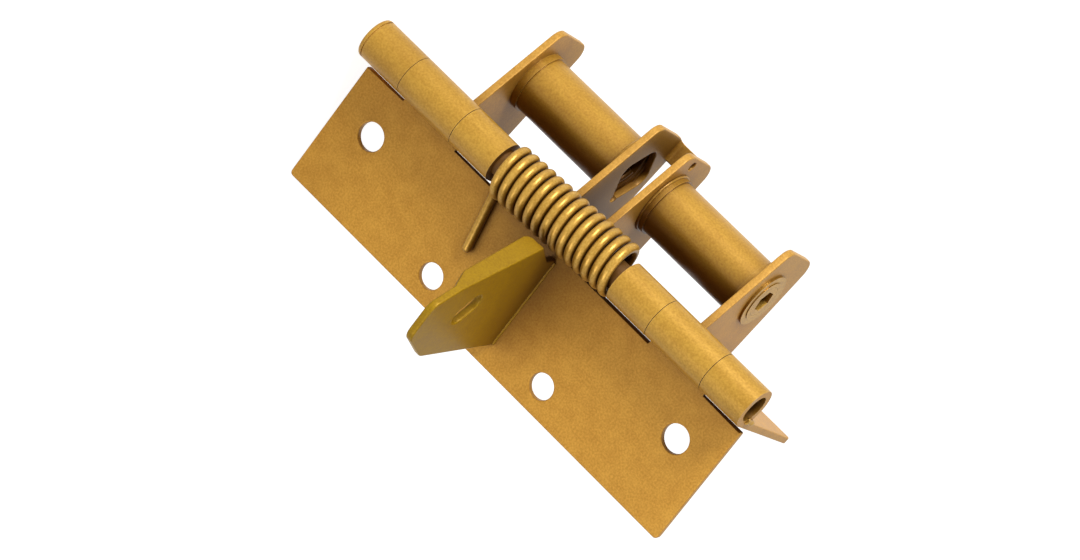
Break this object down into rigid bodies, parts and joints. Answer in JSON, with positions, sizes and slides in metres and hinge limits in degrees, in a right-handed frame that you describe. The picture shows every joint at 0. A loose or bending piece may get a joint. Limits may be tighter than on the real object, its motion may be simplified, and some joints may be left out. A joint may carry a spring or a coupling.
{
  "type": "spring loaded door hinge",
  "caption": "Spring loaded door hinge: pressed leaves on a pin barrel, a torsion spring round the pin, ear plates with parallel spring tubes, and a slotted arm.",
  "frame": {"origin": "middle of the barrel, on the pin's axis", "axes": "+Z along the barrel towards its open end, -X along the door's leaf to its free edge, +Y out of the face of that leaf that carries the arm"},
  "size_m": [0.0635, 0.0854, 0.1265],
  "materials": {
    "leaf_bronze": "satin gold-bronze coat with a fine grain",
    "barrel_bronze": "satin gold-bronze coat",
    "pin_bronze": "dull bronze",
    "spring_bronze": "satin gold-bronze coat over wire",
    "plate_bronze": "satin gold-bronze coat",
    "tube_bronze": "satin gold-bronze coat",
    "fitting_bronze": "satin gold-bronze coat on turned steel",
    "arm_bronze": "satin gold-bronze coat, a little olive"
  },
  "bodies": {
    "door_side": {"leaf_1": "leaf_bronze", "hinge_pin": "pin_bronze", "coil_spring": "spring_bronze", "arm": "arm_bronze"},
    "frame_side": {"leaf_2": "leaf_bronze", "pin_cap": "barrel_bronze", "middle_bracket": "plate_bronze", "ear_far": "plate_bronze", "tube_far": "tube_bronze", "bush_far": "fitting_bronze", "ring_far": "fitting_bronze", "outer_rim_far": "tube_bronze", "inner_rim_far": "tube_bronze", "tube_spring_far": "spring_bronze", "ear_near": "plate_bronze", "tube_near": "tube_bronze", "bush_near": "fitting_bronze", "ring_near": "fitting_bronze", "outer_rim_near": "tube_bronze", "inner_rim_near": "tube_bronze", "tube_spring_near": "spring_bronze"},
    "adjuster_far_body": {"adjuster_far": "fitting_bronze"},
    "adjuster_near_body": {"adjuster_near": "fitting_bronze"}
  },
  "joints": [
    {"name": "leaf_swing", "type": "hinge", "parent": "door_side", "child": "frame_side", "pos_m": [0, 0, 0], "axis": [0, 0, 1], "range_deg": [0, 105], "stiffness_Nm_per_rad": 0.6, "springref_deg": -20.05, "deforming": ["coil_spring"]},
    {"name": "adjuster_far_turn", "type": "hinge", "parent": "frame_side", "child": "adjuster_far_body", "pos_m": [0.00896, -0.02953, -0.037], "axis": [0, 0, 1], "range_deg": [-180, 180]},
    {"name": "adjuster_near_turn", "type": "hinge", "parent": "frame_side", "child": "adjuster_near_body", "pos_m": [0.00896, -0.02953, 0.037], "axis": [0, 0, 1], "range_deg": [-180, 180]}
  ]
}
